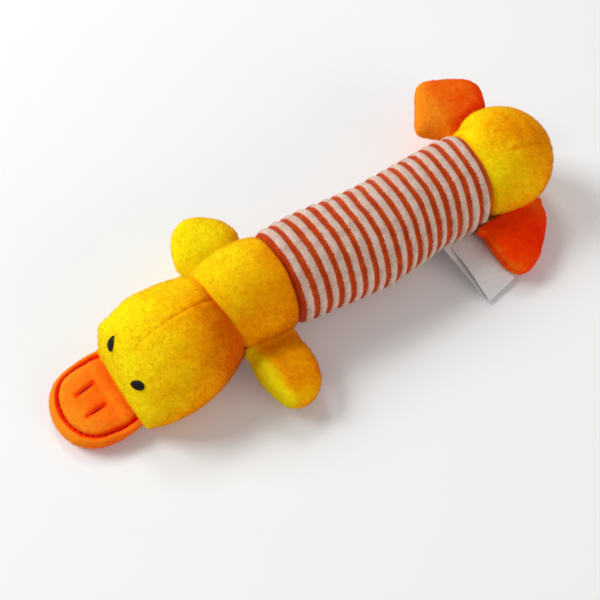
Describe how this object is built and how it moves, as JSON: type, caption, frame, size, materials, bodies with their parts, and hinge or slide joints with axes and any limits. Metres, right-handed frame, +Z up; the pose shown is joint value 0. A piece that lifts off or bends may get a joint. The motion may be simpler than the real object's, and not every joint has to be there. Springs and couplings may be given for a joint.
{
  "type": "squeaky plush dog toy",
  "caption": "Stuffed plush duck with a striped knitted tube for a body, a flat beak, padded wings and feet, and a squeaker inside.",
  "frame": {"origin": "under the middle of the toy's overall box, on the plane it lies on", "axes": "+X from the head towards the tail, +Y to the duck's right side, +Z up"},
  "size_m": [0.23, 0.0976, 0.0441],
  "materials": {
    "yellow_plush": "short dense plush pile",
    "orange_plush": "short dense plush pile",
    "striped_knit": "velour knit in white and orange stripes round the tube",
    "filling": "loose polyester fibre",
    "yellow_thread": "spun sewing thread",
    "dark_thread": "spun sewing thread",
    "black_thread": "embroidery thread",
    "satin_ribbon": "woven satin ribbon, bare",
    "squeaker_plastic": "soft moulded plastic"
  },
  "bodies": {
    "body": {"chest_panel": "yellow_plush", "striped_tube_panel": "striped_knit", "tail_panel": "yellow_plush", "chest_stuffing": "filling", "front_stuffing": "filling", "rear_stuffing": "filling", "tail_stuffing": "filling", "nest_stuffing": "filling", "squeaker_bulb": "squeaker_plastic", "squeaker_plug": "squeaker_plastic", "squeaker_reed": "squeaker_plastic", "chest_seam_thread": "yellow_thread", "tail_seam_thread": "yellow_thread"},
    "press": {"press_stuffing": "filling"},
    "neck": {"neck_stuffing": "filling"},
    "head": {"head_left_panel": "yellow_plush", "head_right_panel": "yellow_plush", "head_stuffing": "filling", "neck_seam_thread": "yellow_thread", "eye_left": "black_thread", "eye_right": "black_thread"},
    "beak": {"beak_upper_panel": "orange_plush", "beak_lower_panel": "orange_plush", "beak_stuffing": "filling", "beak_topstitch": "dark_thread", "nostril_left": "dark_thread", "nostril_right": "dark_thread"},
    "left_wing": {"left_wing_upper_panel": "yellow_plush", "left_wing_lower_panel": "yellow_plush", "left_wing_stuffing": "filling"},
    "right_wing": {"right_wing_upper_panel": "yellow_plush", "right_wing_lower_panel": "yellow_plush", "right_wing_stuffing": "filling"},
    "left_foot": {"left_foot_upper_panel": "orange_plush", "left_foot_lower_panel": "orange_plush", "left_foot_stuffing": "filling"},
    "right_foot": {"right_foot_upper_panel": "orange_plush", "right_foot_lower_panel": "orange_plush", "right_foot_stuffing": "filling"},
    "label": {"label": "satin_ribbon"}
  },
  "joints": [
    {"name": "head_turn", "type": "hinge", "parent": "body", "child": "neck", "pos_m": [-0.04469, -0.00468, 0.0211], "axis": [0, 0, 1], "range_deg": [-8, 8], "stiffness_Nm_per_rad": 0.15},
    {"name": "head_nod", "type": "hinge", "parent": "neck", "child": "head", "pos_m": [-0.04469, -0.00468, 0.0211], "axis": [-0.0872, 0.9962, 0], "range_deg": [-8, 8], "stiffness_Nm_per_rad": 0.15},
    {"name": "beak_flex", "type": "hinge", "parent": "head", "child": "beak", "pos_m": [-0.0946, -0.00543, 0.00653], "axis": [-0.0357, 0.9993, 0.0091], "range_deg": [-15, 20], "stiffness_Nm_per_rad": 0.01},
    {"name": "left_wing_flap", "type": "hinge", "parent": "body", "child": "left_wing", "pos_m": [-0.03329, -0.02417, 0.0138], "axis": [-0.9903, -0.0289, 0.1361], "range_deg": [-25, 45], "stiffness_Nm_per_rad": 0.006},
    {"name": "right_wing_flap", "type": "hinge", "parent": "body", "child": "right_wing", "pos_m": [-0.02909, 0.01815, 0.0161], "axis": [1, 0, 0], "range_deg": [-25, 45], "stiffness_Nm_per_rad": 0.006},
    {"name": "left_foot_flap", "type": "hinge", "parent": "body", "child": "left_foot", "pos_m": [0.08281, -0.02517, 0.0113], "axis": [-0.9848, -0.0537, 0.1651], "range_deg": [-20, 40], "stiffness_Nm_per_rad": 0.006},
    {"name": "right_foot_flap", "type": "hinge", "parent": "body", "child": "right_foot", "pos_m": [0.09121, 0.0219, 0.0168], "axis": [1, 0, 0], "range_deg": [-20, 40], "stiffness_Nm_per_rad": 0.006},
    {"name": "label_flap", "type": "hinge", "parent": "body", "child": "label", "pos_m": [0.06031, -0.02067, 0.0097], "axis": [-1, 0, 0], "range_deg": [-10, 60], "stiffness_Nm_per_rad": 0.001},
    {"name": "squeeze", "type": "slide", "parent": "body", "child": "press", "axis": [0, 0, -1], "range_m": [0, 0.007], "stiffness_N_per_m": 600, "deforming": ["squeaker_bulb"]}
  ]
}
